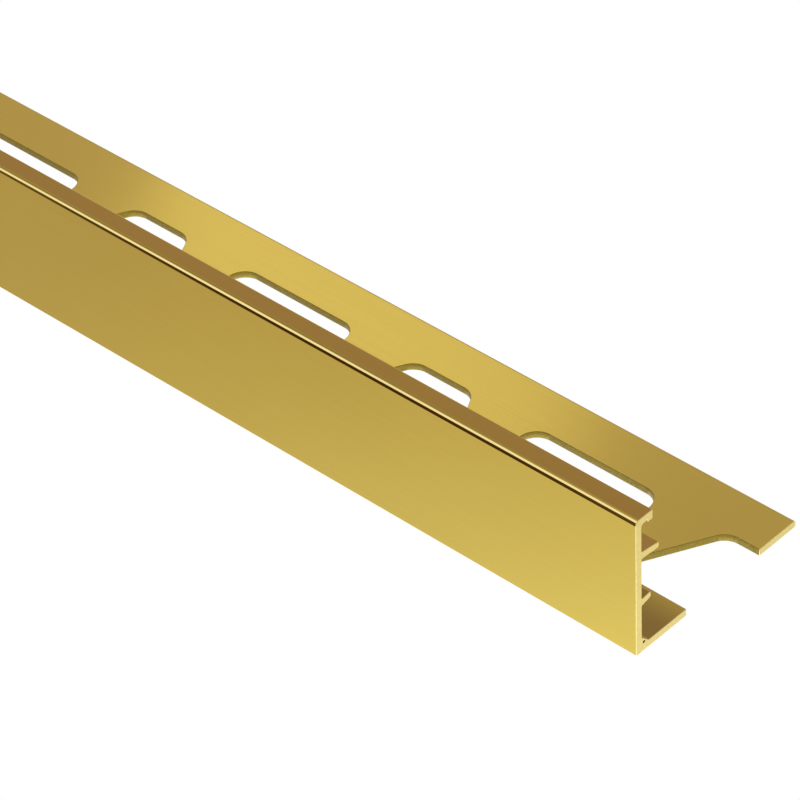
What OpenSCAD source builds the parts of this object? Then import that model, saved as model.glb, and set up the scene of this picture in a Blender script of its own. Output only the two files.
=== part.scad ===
// Perforated L-shaped edge and threshold strip, one extruded and punched profile.
// Frame: X along the strip, Y from the visible front face to the free edge of the
// anchoring leg, Z up. The origin is the centre of the bounding box's underside.

/* [Strip] */
// Number of punching pitches in the length, even so that both ends match
pitches = 30; // [4:2:100]
// Distance from one perforation's centre to the next
pitch = 24.5; // [22:0.5:30]
// Overall height, from the underside of the leg to the top of the lip
height = 20; // [18:0.5:30]
// Overall width, from the front face to the free edge of the leg
leg_w = 28.7; // [26:0.1:34]

/* [Thicknesses] */
// Thickness of the upright wall
wall_t = 1; // [0.8:0.1:1.3]
// Thickness of the anchoring leg
leg_t = 1; // [0.8:0.1:1.3]
// Thickness of the lip in front of its rear bead
lip_t = 1; // [0.8:0.1:1.2]

/* [Lip] */
// Width of the lip, from the front face to its rear end
lip_w = 2.9; // [2.6:0.1:4]
// Height of the rear end of the lip
bead_h = 1.3; // [1.25:0.05:1.6]
// Width of the thicker bead at the rear end of the lip
bead_w = 0.85; // [0.6:0.05:1]
// Radius of the top front edge
nose_r = 0.65; // [0.2:0.05:0.7]

/* [Ribs on the back of the wall] */
// Height of the upper rib's root above the underside
upper_rib_z = 14.5; // [12:0.1:15]
// Length of the upper rib
upper_rib_l = 2.95; // [2:0.05:3.5]
// How far the upper rib's tip drops below its root
upper_rib_drop = 0.35; // [0:0.05:0.8]
// Height of the lower rib's root above the underside
lower_rib_z = 7.35; // [5:0.1:9]
// Length of the lower rib
lower_rib_l = 1.55; // [1:0.05:2.5]
// How far the lower rib's tip rises above its root
lower_rib_rise = 0.4; // [0:0.05:0.8]
// Thickness of both ribs at the root
rib_root_t = 1.05; // [0.8:0.05:1.3]
// Thickness of both ribs at the tip
rib_tip_t = 0.8; // [0.6:0.05:0.8]

/* [Inner corner] */
// Size of the 45 degree fillet between wall and leg
corner_leg = 1.15; // [1:0.05:1.6]
// Diameter of the fine channel that runs through the corner fillet
channel_d = 0.4; // [0.2:0.05:0.4]

/* [Perforations] */
// Distance from the front face to the inner edge of the perforations
hole_y0 = 8.8; // [7:0.1:10]
// Distance from the front face to the outer edge of the perforations
hole_y1 = 22; // [20:0.1:23]
// Length of the short side of each trapezoid
hole_short = 9.3; // [7:0.1:12]
// Angle of the slanted sides away from square
hole_slant = 27.9; // [20:0.1:28.5]
// Corner radius of the perforations
hole_r = 2.5; // [1:0.1:3]

/* [Hidden] */
$fn = 48;
brass = [0.78, 0.66, 0.34];
length = pitches * pitch;
hole_long = hole_short + 2 * (hole_y1 - hole_y0) * tan(hole_slant);
bead_r = 0.12;
rib_r = 0.25;
leg_r = 0.4;
lip_fillet = 0.4;
channel_inset = 0.33;
over = 1;

function unit(v) = v / norm(v);

// Unit vectors from corner i of outline p towards the corners before and after it
function to_prev(p, i) = unit(p[(i + len(p) - 1) % len(p)] - p[i]);
function to_next(p, i) = unit(p[(i + 1) % len(p)] - p[i]);

// Half of the inside angle at corner i
function half_angle(p, i) = acos(to_prev(p, i) * to_next(p, i)) / 2;

// Centre of the round of radius r at corner i, and its two tangent points
function round_centre(p, i, r) =
    p[i] + unit(to_prev(p, i) + to_next(p, i)) * r / sin(half_angle(p, i));
function round_ends(p, i, r) =
    let (d = r / tan(half_angle(p, i))) [p[i] + to_prev(p, i) * d, p[i] + to_next(p, i) * d];

// Convex outline p with every corner rounded to radius r
module rounded(p, r) {
    polygon([for (i = [0 : len(p) - 1]) for (q = round_ends(p, i, r)) q]);
    for (i = [0 : len(p) - 1]) {
        translate(round_centre(p, i, r)) circle(r = r);
    }
}

// What a round of radius r takes off a square corner at the origin that faces -X and -Y
module corner_waste(r) {
    difference() {
        translate([-over, -over]) square(r + over);
        translate([r, r]) circle(r = r);
    }
}

// Rib on the back of the wall: root centre at height z, length l, tip moved up by rise
module rib(z, l, rise) {
    rounded([
        [wall_t / 2, z - rib_root_t / 2],
        [wall_t + l, z + rise - rib_tip_t / 2],
        [wall_t + l, z + rise + rib_tip_t / 2],
        [wall_t / 2, z + rib_root_t / 2]
    ], rib_r);
}

// Concave fillet under the lip, in the corner between the lip and the wall
module lip_root() {
    translate([wall_t, height - lip_t - lip_fillet]) difference() {
        translate([-wall_t / 2, 0]) square([wall_t / 2 + lip_fillet, lip_fillet + lip_t / 2]);
        translate([lip_fillet, 0]) circle(r = lip_fillet);
    }
}

// Cross-section of the strip: X is the distance from the front face, Y is the height
module section() {
    difference() {
        union() {
            square([wall_t, height]);
            square([leg_w, leg_t]);
            translate([0, height - lip_t]) square([lip_w, lip_t]);
            translate([lip_w - bead_w, height - bead_h]) square([bead_w, bead_h]);
            lip_root();
            rib(upper_rib_z, upper_rib_l, -upper_rib_drop);
            rib(lower_rib_z, lower_rib_l, lower_rib_rise);
            polygon([
                [wall_t / 2, leg_t / 2],
                [wall_t + corner_leg + leg_t / 2, leg_t / 2],
                [wall_t / 2, leg_t + corner_leg + wall_t / 2]
            ]);
        }
        translate([0, height]) mirror([0, 1]) corner_waste(nose_r);
        translate([lip_w, height]) rotate(180) corner_waste(bead_r);
        translate([lip_w, height - bead_h]) mirror([1, 0]) corner_waste(bead_r);
        translate([leg_w, 0]) mirror([1, 0]) corner_waste(leg_r);
        translate([leg_w, leg_t]) rotate(180) corner_waste(leg_r);
        translate([wall_t + channel_inset, leg_t + channel_inset]) circle(d = channel_d);
    }
}

// Perforation number i, a trapezoid that is long towards the wall or away from it in turn
module perforation(i) {
    near = i % 2 == 0 ? hole_long : hole_short;
    far = i % 2 == 0 ? hole_short : hole_long;
    translate([i * pitch, 0, -over]) linear_extrude(leg_t + 2 * over) rounded([
        [-near / 2, hole_y0],
        [near / 2, hole_y0],
        [far / 2, hole_y1],
        [-far / 2, hole_y1]
    ], hole_r);
}

// The whole strip, cut through the middle of a perforation at both ends
module edge_profile() {
    color(brass) translate([-length / 2, -leg_w / 2, 0]) difference() {
        rotate([90, 0, 90]) linear_extrude(length) section();
        for (i = [0 : pitches]) {
            perforation(i);
        }
    }
}

edge_profile();
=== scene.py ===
"""Looks for the brass threshold strip.

The strip is a copy of the CAD profile with finely broken edges and its own finishes, some of whose tones
carry painted shade and a painted highlight. Round it are a plain white floor, a soft studio and the camera.
"""

import math

import bpy
from mathutils import Matrix, Vector
from mathutils.geometry import tessellate_polygon


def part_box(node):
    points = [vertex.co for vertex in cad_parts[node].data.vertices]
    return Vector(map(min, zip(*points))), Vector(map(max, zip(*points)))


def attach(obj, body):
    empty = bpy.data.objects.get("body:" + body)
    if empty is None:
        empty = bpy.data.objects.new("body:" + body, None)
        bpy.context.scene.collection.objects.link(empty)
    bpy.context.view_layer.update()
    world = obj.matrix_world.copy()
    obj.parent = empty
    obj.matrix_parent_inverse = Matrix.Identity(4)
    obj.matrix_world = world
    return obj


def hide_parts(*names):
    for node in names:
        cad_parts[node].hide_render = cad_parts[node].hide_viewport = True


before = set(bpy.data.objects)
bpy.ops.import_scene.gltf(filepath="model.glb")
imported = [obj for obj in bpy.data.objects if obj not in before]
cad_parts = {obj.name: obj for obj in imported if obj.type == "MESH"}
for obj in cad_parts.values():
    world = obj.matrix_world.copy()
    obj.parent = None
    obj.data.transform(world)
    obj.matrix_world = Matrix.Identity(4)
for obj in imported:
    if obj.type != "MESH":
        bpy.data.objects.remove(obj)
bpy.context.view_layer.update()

MM = 0.001

# ---------------------------------------------------------------- the profile's own sizes, in millimetres
low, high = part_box("edge_profile")
LENGTH = (high.x - low.x) / MM
LEG_W = (high.y - low.y) / MM
HEIGHT = (high.z - low.z) / MM

WALL_T = 1.0
LEG_T = 1.0
LIP_T = 1.0
LIP_W = 2.9
BEAD_H = 1.3
BEAD_W = 0.85
NOSE_R = 0.65
RIB_ROOT_T = 1.05
RIB_TIP_T = 0.8
RIB_FILLET = 0.15
CORNER_LEG = 1.15       # size of the 45 degree fillet between leg and wall

PITCHES = 30
PITCH = LENGTH / PITCHES
HOLE_Y0 = 8.8
HOLE_Y1 = 22.0
HOLE_SHORT = 9.3
HOLE_SLANT = math.radians(27.9)
HOLE_LONG = HOLE_SHORT + 2 * (HOLE_Y1 - HOLE_Y0) * math.tan(HOLE_SLANT)
HOLE_R = 2.5

CHANNEL_AT = (1.33, 1.33)       # the fine channel's distance from the front face and its height
CHANNEL_R = 0.2
CHANNEL_SIDES = 24

DIE_ROLL_R = 0.065      # round that the punch leaves on the upper rim of a perforation
DIE_ROLL_STEPS = 5
SHEAR_END = 0.62        # where the sheared metal ends, as a share of the leg's thickness
BREAK_R = 0.065         # break on the lower rim of a perforation
BREAK_STEPS = 2
SAW_BREAK = 0.06        # deburred edge round the sawn ends, smaller than any round that it runs past
SAW_STRETCH_MOST = 2    # the most that a sharp corner widens it
END_X = LENGTH / 2 - SAW_BREAK
ARC_STEP = math.radians(9)


# ---------------------------------------------------------------- outlines
def rounded(corners):
    """Closed outline from (x, y, radius) corners, all arcs, and each corner's first and last index in it."""
    points, spans = [], []
    count = len(corners)
    for i in range(count):
        x, y, radius = corners[i]
        here = Vector((x, y))
        back = (Vector(corners[i - 1][:2]) - here).normalized()
        ahead = (Vector(corners[(i + 1) % count][:2]) - here).normalized()
        half = back.angle(ahead) / 2
        centre = here + (back + ahead).normalized() * radius / math.sin(half)
        reach = radius / math.tan(half)
        start = here + back * reach - centre
        end = here + ahead * reach - centre
        turn = start.angle_signed(end)
        steps = max(2, math.ceil(abs(turn) / ARC_STEP))
        first = len(points)
        for k in range(steps + 1):
            points.append(centre + Matrix.Rotation(-turn * k / steps, 2) @ start)
        spans.append((first, len(points) - 1))
    return points, spans


def rib_corners(z, reach, rise, lower_r, upper_r):
    """Root and tip corners of a rib on the back of the wall, from below to above."""
    share = (WALL_T / 2) / (WALL_T / 2 + reach)
    low_tip, high_tip = z + rise - RIB_TIP_T / 2, z + rise + RIB_TIP_T / 2
    low_root = (z - RIB_ROOT_T / 2) * (1 - share) + low_tip * share
    high_root = (z + RIB_ROOT_T / 2) * (1 - share) + high_tip * share
    return [
        (WALL_T, low_root, RIB_FILLET),
        (WALL_T + reach, low_tip, lower_r),
        (WALL_T + reach, high_tip, upper_r),
        (WALL_T, high_root, RIB_FILLET),
    ]


# corners of the cross-section: distance from the front face, height, radius
SECTION = [
    (0, 0, 0.1),                                # foot of the wall
    (LEG_W, 0, 0.4),                            # free edge of the leg
    (LEG_W, LEG_T, 0.4),
    (WALL_T + CORNER_LEG, LEG_T, 0.2),          # fillet between leg and wall
    (WALL_T, LEG_T + CORNER_LEG, 0.2),
    *rib_corners(z=7.35, reach=1.55, rise=0.4, lower_r=0.25, upper_r=0.2),
    *rib_corners(z=14.5, reach=2.95, rise=-0.35, lower_r=0.3, upper_r=0.12),
    (WALL_T, HEIGHT - LIP_T, 0.4),              # under the lip
    (LIP_W - BEAD_W, HEIGHT - LIP_T, 0.05),     # bead
    (LIP_W - BEAD_W, HEIGHT - BEAD_H, 0.1),
    (LIP_W, HEIGHT - BEAD_H, 0.12),
    (LIP_W, HEIGHT, 0.12),
    (0, HEIGHT, NOSE_R),
]
# places in SECTION: the foot of the wall, the upper corner of the leg's free edge, each rib's first and last
# corner, and the rear and the front of the lip's top
CORNER_FOOT, CORNER_LEG_HIGH = 0, 2
RIBS = ((5, 8), (9, 12))
CORNER_LIP_REAR = len(SECTION) - 2
CORNER_NOSE = len(SECTION) - 1


def rim_levels():
    """(offset outwards, height) down the wall of a perforation, from the leg's top to its underside."""
    levels = []
    for k in range(DIE_ROLL_STEPS + 1):
        a = math.pi / 2 * k / DIE_ROLL_STEPS
        levels.append((DIE_ROLL_R * (1 - math.sin(a)), LEG_T - DIE_ROLL_R * (1 - math.cos(a))))
    levels.append((0, SHEAR_END * LEG_T))
    for k in range(BREAK_STEPS + 1):
        a = math.pi / 2 * k / BREAK_STEPS
        levels.append((BREAK_R * (1 - math.cos(a)), BREAK_R * (1 - math.sin(a))))
    return levels


def perforation(i, offset):
    """Outline of perforation i, moved outwards by offset, counter-clockwise from above."""
    x = (i - PITCHES / 2) * PITCH
    near = (HOLE_LONG if i % 2 == 0 else HOLE_SHORT) / 2
    far = (HOLE_SHORT if i % 2 == 0 else HOLE_LONG) / 2
    side = offset / math.cos(HOLE_SLANT)
    lean = offset * math.tan(HOLE_SLANT) * (1 if near > far else -1)
    y0, y1 = HOLE_Y0 - offset, HOLE_Y1 + offset
    radius = HOLE_R + offset
    near, far = near + side + lean, far + side - lean
    points, _ = rounded([
        (x - near, y0, radius),
        (x + near, y0, radius),
        (x + far, y1, radius),
        (x - far, y1, radius),
    ])
    return points


# ---------------------------------------------------------------- mesh of the profile
class Builder:
    """Collects vertices, given in millimetres with Y from the front face, and faces with their finish."""

    def __init__(self):
        self.vertices, self.faces, self.finishes, self.smooth = [], [], [], []

    def add(self, x, y, z):
        self.vertices.append((x * MM, (y - LEG_W / 2) * MM, z * MM))
        return len(self.vertices) - 1

    def face(self, corners, finish, smooth=True):
        self.faces.append(corners)
        self.finishes.append(finish)
        self.smooth.append(smooth)

    def band(self, one, two, finish, closed=True):
        """Quads between two rows of vertices."""
        last = len(one) if closed else len(one) - 1
        for k in range(last):
            n = (k + 1) % len(one)
            self.face((one[k], one[n], two[n], two[k]), finish)

    def fill(self, loops, flat, finish, flip=False):
        """Triangles inside the first loop of vertices and outside the others, all facing one way.

        flat gives a vertex's 2-D place. They face the side that it is seen from, or the other one with flip.
        """
        order = [v for loop in loops for v in loop]
        rings = [[Vector((*flat(v), 0)) for v in loop] for loop in loops]
        triangles = [[order[k] for k in triangle] for triangle in tessellate_polygon(rings)]
        area = 0
        for corners in triangles:
            p, q, r = (Vector(flat(v)) for v in corners)
            area += (q - p).cross(r - p)
        for corners in triangles:
            self.face(tuple(corners if (area > 0) != flip else corners[::-1]), finish, smooth=False)


FACE, LIP, SAWN, PUNCHED, LEG, ARRIS_HIGHLIGHT = range(6)     # finishes


def build_profile():
    b = Builder()
    outline, spans = rounded(SECTION)
    left = [b.add(-END_X, p.x, p.y) for p in outline]
    right = [b.add(END_X, p.x, p.y) for p in outline]
    count = len(outline)

    # swept surfaces, all but the two perforated planes
    under = spans[CORNER_FOOT][1]
    top = spans[CORNER_LEG_HIGH][1]
    lip = range(spans[CORNER_LIP_REAR][1], spans[CORNER_NOSE][0])
    ribs = [k for first, last in RIBS for k in range(spans[first][0], spans[last][1])]
    for k in range(count):
        if k in (under, top):
            continue
        n = (k + 1) % count
        # the lip's top and the ribs take the lip's darker, browner brass, in part painted shade and painted
        # dark reflection
        finish = LIP if k in lip or k in ribs else FACE
        b.face((left[k], left[n], right[n], right[k]), finish)

    # perforation walls
    whole, halves = [], {}
    for i in range(PITCHES + 1):
        rows = []
        for offset, z in rim_levels():
            points = perforation(i, offset)
            if i == 0:
                points = cut(points, -END_X, keep_above=True)
            if i == PITCHES:
                points = cut(points, END_X, keep_above=False)
            rows.append([b.add(p.x, p.y, z) for p in points])
        closed = 0 < i < PITCHES
        for upper, lower in zip(rows, rows[1:]):
            b.band(upper, lower, PUNCHED, closed)
        if closed:
            whole.append(rows)
        else:
            halves[i] = rows

    # the two perforated planes
    def seen_from_above(v):
        return b.vertices[v][:2]

    for row, start, flip in ((0, top, False), (-1, under, True)):
        # the edge loop runs round the plane and in and out of the half perforations
        low_end = ordered(b, left[start:start + 2], halves[0][row])
        high_end = ordered(b, right[start:start + 2], halves[PITCHES][row])
        b.fill([low_end + high_end[::-1]] + [rows[row] for rows in whole], seen_from_above, LEG, flip)

    # channel in the corner fillet
    rings = []
    for x in (-END_X, END_X):
        ring = []
        for k in range(CHANNEL_SIDES):
            a = 2 * math.pi * k / CHANNEL_SIDES
            y = CHANNEL_AT[0] + CHANNEL_R * math.cos(a)
            z = CHANNEL_AT[1] + CHANNEL_R * math.sin(a)
            ring.append(b.add(x, y, z))
        rings.append(ring)
    b.band(rings[1], rings[0], FACE)

    # sawn ends: the main part of the section and the leg's outer strip
    for ends, rows, ring, sign in ((left, halves[0], rings[0], -1), (right, halves[PITCHES], rings[1], 1)):
        sides = [[row[side] for row in rows] for side in (0, -1)]
        inner, outer = sorted(sides, key=lambda rim: b.vertices[rim[len(rim) // 2]][1])
        cap(b, ends[:under + 1] + inner[::-1] + ends[top + 1:], [ring], sign)
        cap(b, ends[under + 1:top + 1] + outer, [], sign)
    return b


def cut(points, x_cut, keep_above):
    """The part of a closed outline on one side of x = x_cut, as an open row that starts and ends there."""
    inside = [(p.x > x_cut) == keep_above for p in points]
    count = len(points)
    start = next(k for k in range(count) if inside[k] and not inside[k - 1])
    row = [crossing(points[start - 1], points[start], x_cut)]
    k = start
    while inside[k % count]:
        row.append(points[k % count])
        k += 1
    row.append(crossing(points[(k - 1) % count], points[k % count], x_cut))
    return row


def crossing(p, q, x_cut):
    return p.lerp(q, (x_cut - p.x) / (q.x - p.x))


def ordered(b, corners, row):
    """The end of a perforated plane as one row of vertices, from its low side in Y to its high side."""
    low_corner, high_corner = sorted(corners, key=lambda v: b.vertices[v][1])
    if b.vertices[row[0]][1] > b.vertices[row[-1]][1]:
        row = row[::-1]
    return [low_corner, *row, high_corner]


def cap(b, loop, holes, sign):
    """A sawn end face inside loop and outside holes, with a small break round it. sign says which end."""
    x = sign * LENGTH / 2
    places = [Vector((b.vertices[v][1], b.vertices[v][2])) / MM for v in loop]
    area = sum(p.cross(q) for p, q in zip(places, places[1:] + places[:1]))
    if area < 0:
        loop, places = loop[::-1], places[::-1]
    inset = []
    for k, here in enumerate(places):
        back = (here - places[k - 1]).normalized()
        ahead = (places[(k + 1) % len(places)] - here).normalized()
        normal = Vector((-(back + ahead).y, (back + ahead).x)).normalized()
        stretch = 1 / max(1 / SAW_STRETCH_MOST, math.cos(back.angle(ahead, 0) / 2))
        inner = here + normal * SAW_BREAK * stretch
        inset.append(b.add(x, inner.x + LEG_W / 2, inner.y))
    # the break round the sawn end takes the painted highlight
    bands, rims = [(loop, inset, ARRIS_HIGHLIGHT)], []
    for ring in holes:
        rim = [b.add(x, b.vertices[v][1] / MM + LEG_W / 2, b.vertices[v][2] / MM) for v in ring]
        bands.append((rim, ring, FACE))
        rims.append(rim)
    for one, two, finish in bands:
        if sign > 0:
            b.band(one, two, finish)
        else:
            b.band(two, one, finish)
    b.fill([inset, *rims], lambda v: b.vertices[v][1:], SAWN, flip=sign < 0)


# ---------------------------------------------------------------- materials
DRAWN = (25, 5200, 5200)        # grain of the extrusion, along the strip
SPECKLED = (3300, 4400, 3800)   # grain of sawn and torn metal
GRAIN_SHARE = 0.65              # the grain's share in the tone
CLOUD_SHARE = 0.35
CLOUD_SCALE = 38
RELIEF = 0.00001
# distances from the front face between which the painted shade of the leg's corner behind the wall fades in
WALL_SHADE_STARTS = 12 * MM
WALL_SHADE_WHOLE = 4 * MM


def node_tree(name):
    material = bpy.data.materials.new(name)
    material.use_nodes = True
    nodes = material.node_tree.nodes
    nodes.clear()
    return material, nodes, material.node_tree.links


def noise(nodes, links, place, scale, detail, roughness):
    texture = nodes.new("ShaderNodeTexNoise")
    texture.inputs["Scale"].default_value = scale
    texture.inputs["Detail"].default_value = detail
    texture.inputs["Roughness"].default_value = roughness
    links.new(place, texture.inputs["Vector"])
    return texture.outputs["Fac"]


def shade_near_the_wall(nodes, links, place, colour, corner):
    """The colour, turning into painted shade towards the wall, where the wall shades the leg's corner."""
    parts = nodes.new("ShaderNodeSeparateXYZ")
    links.new(place, parts.inputs[0])
    fade = nodes.new("ShaderNodeMapRange")
    fade.interpolation_type = "SMOOTHSTEP"
    fade.inputs["From Min"].default_value = low.y + WALL_SHADE_STARTS
    fade.inputs["From Max"].default_value = low.y + WALL_SHADE_WHOLE
    links.new(parts.outputs["Y"], fade.inputs["Value"])
    blend = nodes.new("ShaderNodeMix")
    blend.data_type = "RGBA"
    blend.inputs["B"].default_value = (*corner, 1)
    links.new(fade.outputs["Result"], blend.inputs["Factor"])
    links.new(colour, blend.inputs["A"])
    return blend.outputs["Result"]


def brass(name, light, dark, rough, rough_spread, bump, stretch, contrast, corner=None):
    """Brass with a grain, stretched as given, in tone, roughness and bump, and soft clouds in its tone.

    corner is the painted shade that it turns to towards the wall, if any.
    """
    material, nodes, links = node_tree(name)
    place = nodes.new("ShaderNodeTexCoord").outputs["Object"]
    scale = nodes.new("ShaderNodeMapping")
    scale.inputs["Scale"].default_value = stretch
    links.new(place, scale.inputs["Vector"])
    grain = noise(nodes, links, scale.outputs["Vector"], scale=1, detail=4, roughness=0.65)
    clouds = noise(nodes, links, place, scale=CLOUD_SCALE, detail=3, roughness=0.5)

    def spread(source, low_end, high_end):
        span = nodes.new("ShaderNodeMapRange")
        span.inputs["From Min"].default_value = 0.5 - contrast
        span.inputs["From Max"].default_value = 0.5 + contrast
        span.inputs["To Min"].default_value = low_end
        span.inputs["To Max"].default_value = high_end
        links.new(source, span.inputs["Value"])
        return span.outputs["Result"]

    share = nodes.new("ShaderNodeMath")
    share.operation = "ADD"
    links.new(spread(grain, 0, GRAIN_SHARE), share.inputs[0])
    links.new(spread(clouds, 0, CLOUD_SHARE), share.inputs[1])
    tone = nodes.new("ShaderNodeMix")
    tone.data_type = "RGBA"
    tone.inputs["A"].default_value = (*light, 1)
    tone.inputs["B"].default_value = (*dark, 1)
    links.new(share.outputs[0], tone.inputs["Factor"])
    colour = tone.outputs["Result"]
    # painted shade in the corner behind the wall
    if corner:
        colour = shade_near_the_wall(nodes, links, place, colour, corner)

    relief = nodes.new("ShaderNodeBump")
    relief.inputs["Strength"].default_value = bump
    relief.inputs["Distance"].default_value = RELIEF
    links.new(grain, relief.inputs["Height"])

    shader = nodes.new("ShaderNodeBsdfPrincipled")
    shader.inputs["Metallic"].default_value = 1
    links.new(colour, shader.inputs["Base Color"])
    links.new(spread(grain, rough - rough_spread, rough + rough_spread), shader.inputs["Roughness"])
    links.new(relief.outputs["Normal"], shader.inputs["Normal"])
    output = nodes.new("ShaderNodeOutputMaterial")
    links.new(shader.outputs["BSDF"], output.inputs["Surface"])
    return material


def make_materials():
    return {
        FACE: brass(
            "brass_face", light=(0.645, 0.464, 0.086), dark=(0.607, 0.43, 0.078),
            rough=0.1, rough_spread=0.02, bump=0.1, stretch=DRAWN, contrast=0.2,
        ),
        # darker and browner than the face's brass, on the lip's top and the ribs: in part painted shade and
        # painted dark reflection, in part a tone of its own
        LIP: brass(
            "brass_lip", light=(0.53, 0.32, 0.069), dark=(0.49, 0.292, 0.062),
            rough=0.1, rough_spread=0.02, bump=0.1, stretch=DRAWN, contrast=0.2,
        ),
        SAWN: brass(
            "brass_sawn", light=(0.78, 0.62, 0.215), dark=(0.68, 0.525, 0.155),
            rough=0.34, rough_spread=0.05, bump=0.3, stretch=SPECKLED, contrast=0.15,
        ),
        # darker than the sawn ends: in part the torn metal's own tone, in part painted shade inside the
        # perforations
        PUNCHED: brass(
            "brass_punched", light=(0.36, 0.262, 0.043), dark=(0.24, 0.17, 0.027),
            rough=0.4, rough_spread=0.05, bump=0.3, stretch=SPECKLED, contrast=0.15,
        ),
        LEG: brass(
            "brass_leg", light=(0.745, 0.545, 0.106), dark=(0.715, 0.519, 0.099),
            rough=0.23, rough_spread=0.02, bump=0.06, stretch=DRAWN, contrast=0.2,
            # painted shade: the leg's tone darkens towards the wall, where the wall shades it
            corner=(0.39, 0.255, 0.062),
        ),
        # much brighter than the other brass: a painted highlight along the broken edges of the sawn ends,
        # over a real break that catches light
        ARRIS_HIGHLIGHT: brass(
            "brass_arris_highlight", light=(1.0, 0.85, 0.38), dark=(0.95, 0.75, 0.3),
            rough=0.3, rough_spread=0.05, bump=0.2, stretch=SPECKLED, contrast=0.2,
        ),
    }


# ---------------------------------------------------------------- the piece
SHARP_ANGLE = math.radians(32)


def make_strip():
    b = build_profile()
    mesh = bpy.data.meshes.new("threshold_strip")
    mesh.from_pydata(b.vertices, [], b.faces)
    mesh.validate()
    finishes = make_materials()
    for index in sorted(finishes):
        mesh.materials.append(finishes[index])
    mesh.polygons.foreach_set("material_index", b.finishes)
    mesh.polygons.foreach_set("use_smooth", b.smooth)
    strip = bpy.data.objects.new("threshold_strip", mesh)
    bpy.context.scene.collection.objects.link(strip)
    mesh.set_sharp_from_angle(angle=SHARP_ANGLE)
    even = strip.modifiers.new("even_normals", "WEIGHTED_NORMAL")
    even.keep_sharp = True
    return strip


# ---------------------------------------------------------------- floor, lights and camera
FLOOR_HALF = 6.0
FLOOR_GAP = 0.00005     # how far the floor lies under the leg

# a small light over the leg: the spot it points at, 64 mm from the near end, and its direction from there
LEG_SPOT = Vector((high.x - 0.064, 0.007, low.z + LEG_T * MM))
LEG_LIGHT_TOWARDS = Vector((-0.552, 0.551, 0.625))
LEG_LIGHT_DISTANCE = 0.12
LEG_LIGHT_SIZE = (0.076, 0.036)
LEG_LIGHT_POWER = 0.0039
LEG_LIGHT_COLOUR = (0.92, 1, 0.92)

CAMERA_FROM_CORNER = Vector((0.20649, -0.24369, 0.30210))
CAMERA_AZIMUTH = math.radians(44.75)
CAMERA_ELEVATION = math.radians(39.55)
CAMERA_ROLL = math.radians(-3.13)
CAMERA_LENS = 175.6


def make_floor():
    """A plain white floor that only the camera sees. The world's lower half lights the brass in its place."""
    mesh = bpy.data.meshes.new("floor")
    z = low.z - FLOOR_GAP
    corners = [(x * FLOOR_HALF, y * FLOOR_HALF, z) for x, y in ((-1, -1), (1, -1), (1, 1), (-1, 1))]
    mesh.from_pydata(corners, [], [(0, 1, 2, 3)])
    floor = bpy.data.objects.new("floor", mesh)
    bpy.context.scene.collection.objects.link(floor)
    material, nodes, links = node_tree("floor_white")
    glow = nodes.new("ShaderNodeEmission")
    glow.inputs["Color"].default_value = (1, 1, 1, 1)
    output = nodes.new("ShaderNodeOutputMaterial")
    links.new(glow.outputs[0], output.inputs["Surface"])
    mesh.materials.append(material)
    floor.visible_glossy = False
    floor.visible_diffuse = False
    floor.visible_shadow = False


# (elevation in degrees, light) of the studio: a bright floor, soft walls and a bright ceiling
STUDIO = [
    (-90, (1.45, 1.55, 1.9)), (-56, (1.75, 1.88, 2.2)), (-49, (1.8, 1.95, 2.1)), (-46, (1.6, 1.75, 1.75)),
    (-42.5, (1.04, 1.08, 1.08)), (-39.5, (0.79, 0.77, 0.68)), (-36.5, (0.66, 0.61, 0.55)),
    (-33, (0.7, 0.65, 0.58)), (5, (0.72, 0.67, 0.62)), (18, (0.6, 0.54, 0.54)), (29, (0.56, 0.5, 0.52)),
    (40, (0.6, 0.56, 0.58)), (46, (0.46, 0.42, 0.44)), (56, (0.4, 0.37, 0.42)), (66, (1.0, 0.9, 0.7)),
    (90, (1.4, 1.2, 0.8)),
]
# the same towards a narrow dark brown screen, which stands at the front left
SCREEN_LIGHT = (0.07, 0.03, 0.01)
SCREEN = [stop for stop in STUDIO if stop[0] < -36] + [
    (-33.5, SCREEN_LIGHT), (19, SCREEN_LIGHT), (27, (0.56, 0.5, 0.52)),
] + [stop for stop in STUDIO if stop[0] > 29]
SCREEN_TOWARDS = (-0.566, -0.824, 0)
SCREEN_EDGE = (0.98, 0.9994)    # cosines of the angle from its middle, where it ends and where it is whole
# a round soft box above the screen
SOFT_BOX_TOWARDS = (-0.543, -0.532, 0.65)
SOFT_BOX_EDGE = (0.935, 0.965)
SOFT_BOX = (1.5, 1.7, 3.9)


def elevation_ramp(nodes, links, height, stops, brightest):
    """Light by elevation, as a share of the brightest."""
    ramp = nodes.new("ShaderNodeValToRGB")
    links.new(height, ramp.inputs[0])
    elements = ramp.color_ramp.elements
    while len(elements) < len(stops):
        elements.new(1)
    for element, (elevation, light) in zip(elements, stops):
        element.position = (math.sin(math.radians(elevation)) + 1) / 2
        element.color = (*(channel / brightest for channel in light), 1)
    return ramp.outputs[0]


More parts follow.
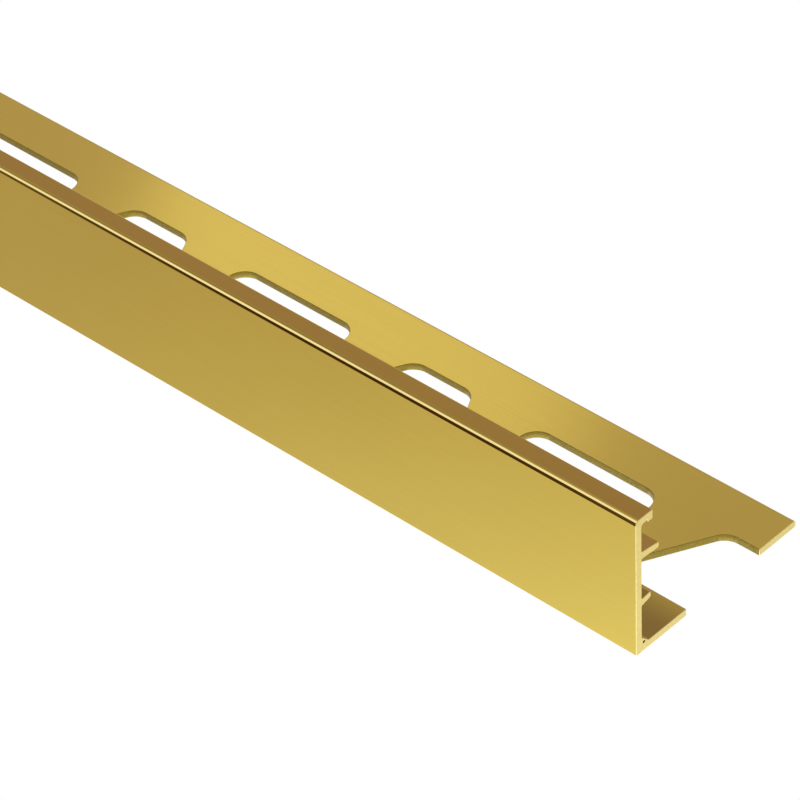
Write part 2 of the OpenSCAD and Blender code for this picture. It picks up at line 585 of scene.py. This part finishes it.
def make_world():
    world = bpy.data.worlds.new("studio")
    world.use_nodes = True
    nodes, links = world.node_tree.nodes, world.node_tree.links
    nodes.clear()
    direction = nodes.new("ShaderNodeTexCoord").outputs["Generated"]
    parts = nodes.new("ShaderNodeSeparateXYZ")
    links.new(direction, parts.inputs[0])
    height = nodes.new("ShaderNodeMapRange")
    height.inputs["From Min"].default_value = -1
    links.new(parts.outputs["Z"], height.inputs["Value"])

    flat = nodes.new("ShaderNodeVectorMath")
    flat.operation = "MULTIPLY"
    flat.inputs[1].default_value = (1, 1, 0)
    links.new(direction, flat.inputs[0])
    level = nodes.new("ShaderNodeVectorMath")
    level.operation = "NORMALIZE"
    links.new(flat.outputs[0], level.inputs[0])

    def share_towards(source, target, edge):
        """1 near the target direction and 0 away from it, between the two cosines."""
        towards = nodes.new("ShaderNodeVectorMath")
        towards.operation = "DOT_PRODUCT"
        towards.inputs[1].default_value = Vector(target).normalized()
        links.new(source, towards.inputs[0])
        share = nodes.new("ShaderNodeMapRange")
        share.interpolation_type = "SMOOTHSTEP"
        share.inputs["From Min"].default_value, share.inputs["From Max"].default_value = edge
        links.new(towards.outputs["Value"], share.inputs["Value"])
        return share.outputs["Result"]

    brightest = max(channel for light in [SOFT_BOX] + [stop[1] for stop in STUDIO] for channel in light)
    walls = nodes.new("ShaderNodeMix")
    walls.data_type = "RGBA"
    links.new(share_towards(level.outputs[0], SCREEN_TOWARDS, SCREEN_EDGE), walls.inputs["Factor"])
    links.new(elevation_ramp(nodes, links, height.outputs[0], STUDIO, brightest), walls.inputs["A"])
    links.new(elevation_ramp(nodes, links, height.outputs[0], SCREEN, brightest), walls.inputs["B"])
    both = nodes.new("ShaderNodeMix")
    both.data_type = "RGBA"
    links.new(share_towards(direction, SOFT_BOX_TOWARDS, SOFT_BOX_EDGE), both.inputs["Factor"])
    links.new(walls.outputs["Result"], both.inputs["A"])
    both.inputs["B"].default_value = (*(channel / brightest for channel in SOFT_BOX), 1)
    sky = nodes.new("ShaderNodeBackground")
    links.new(both.outputs["Result"], sky.inputs["Color"])
    sky.inputs["Strength"].default_value = brightest
    output = nodes.new("ShaderNodeOutputWorld")
    links.new(sky.outputs[0], output.inputs["Surface"])
    bpy.context.scene.world = world


def make_leg_light():
    """A rectangular soft light whose long side runs along the strip."""
    data = bpy.data.lights.new("leg_light", "AREA")
    data.shape = "RECTANGLE"
    data.size, data.size_y = LEG_LIGHT_SIZE
    data.energy = LEG_LIGHT_POWER
    data.color = LEG_LIGHT_COLOUR
    lamp = bpy.data.objects.new("leg_light", data)
    place = LEG_SPOT + LEG_LIGHT_DISTANCE * LEG_LIGHT_TOWARDS
    back = (place - LEG_SPOT).normalized()
    side = Vector((1, 0, 0)).cross(back).normalized()
    along = side.cross(back)
    lamp.matrix_world = Matrix.Translation(place) @ Matrix((along, side, back)).transposed().to_4x4()
    lamp.visible_camera = False
    bpy.context.scene.collection.objects.link(lamp)


def make_camera():
    """The camera stands at the near end, in front of the visible face and above it."""
    near_corner = Vector((high.x, low.y, low.z))
    data = bpy.data.cameras.new("camera")
    data.lens = CAMERA_LENS
    data.clip_start = 0.01
    camera = bpy.data.objects.new("camera", data)
    turn = Matrix.Rotation(CAMERA_AZIMUTH, 3, "Z") @ Matrix.Rotation(math.pi / 2 - CAMERA_ELEVATION, 3, "X")
    turn = turn @ Matrix.Rotation(CAMERA_ROLL, 3, "Z")
    camera.matrix_world = Matrix.Translation(near_corner + CAMERA_FROM_CORNER) @ turn.to_4x4()
    bpy.context.scene.collection.objects.link(camera)
    bpy.context.scene.camera = camera


make_camera()
strip = make_strip()
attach(strip, "root")
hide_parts("edge_profile")
make_floor()
make_world()
make_leg_light()
bpy.context.scene.view_settings.view_transform = "Standard"
